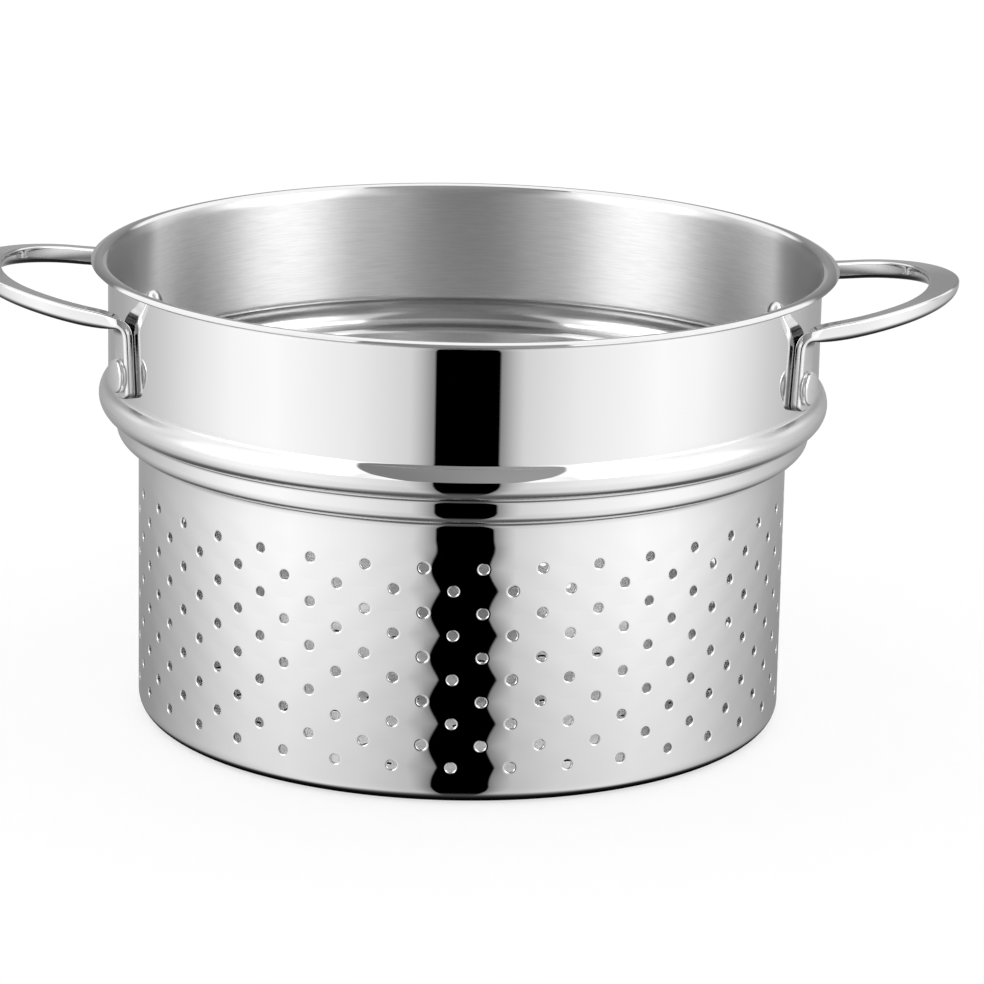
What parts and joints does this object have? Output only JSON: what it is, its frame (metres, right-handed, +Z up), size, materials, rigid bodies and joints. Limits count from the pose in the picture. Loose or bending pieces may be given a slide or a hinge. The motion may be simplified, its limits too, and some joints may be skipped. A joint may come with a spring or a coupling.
{
  "type": "pasta strainer insert",
  "caption": "Deep-drawn steel strainer basket with a stepped collar that hangs in a stock pot's rim, and riveted loop handles on both sides.",
  "frame": {"origin": "on the bowl's axis, in the plane of its base, where it stands on a worktop", "axes": "+X through the middle of the right handle, +Y to the back, +Z up along the bowl's axis"},
  "size_m": [0.3346, 0.253, 0.158],
  "materials": {
    "bowl_steel": "mirror polished outside, fine horizontal brushing inside",
    "handle_steel": "polished solid bar",
    "rivet_steel": "satin to polished, softly rounded heads"
  },
  "bodies": {
    "root": {"strainer_bowl": "bowl_steel", "right_handle": "handle_steel", "left_handle": "handle_steel", "right_front_rivet": "rivet_steel", "right_back_rivet": "rivet_steel", "left_front_rivet": "rivet_steel", "left_back_rivet": "rivet_steel"}
  },
  "joints": []
}
